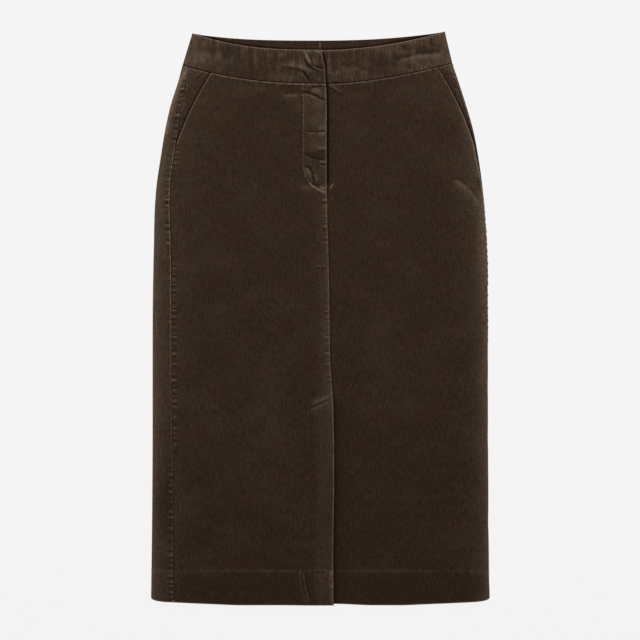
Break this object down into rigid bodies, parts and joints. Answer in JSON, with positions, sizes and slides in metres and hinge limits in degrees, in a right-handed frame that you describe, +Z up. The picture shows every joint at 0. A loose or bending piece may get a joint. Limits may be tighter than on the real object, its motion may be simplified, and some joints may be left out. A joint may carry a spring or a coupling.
{
  "type": "pencil skirt",
  "caption": "Dark brown needlecord midi pencil skirt laid flat, with a fly front, slanted pockets, a shaped waistband and a slit at the centre front.",
  "frame": {"origin": "middle of the outline of the laid skirt, on the surface that its back lies on", "axes": "+X to the right as seen from above with the waist at the top, +Y from the hem up to the waist, +Z up from the surface through the front"},
  "size_m": [0.4736, 0.8022, 0.012],
  "materials": {
    "needlecord": "dark brown cotton needlecord with a short soft pile, matt with a faint sheen",
    "waistband_cord": "the same needlecord, stiffened, a little lighter where its pile is pressed",
    "facing_cord": "the same needlecord behind the pocket mouths and the fly"
  },
  "bodies": {
    "root": {"back_panel": "needlecord", "front_left": "needlecord", "front_right": "needlecord", "waistband_left": "waistband_cord", "waistband_right": "waistband_cord", "pocket_facing_left": "facing_cord", "pocket_facing_right": "facing_cord", "fly_shield": "facing_cord"}
  },
  "joints": []
}
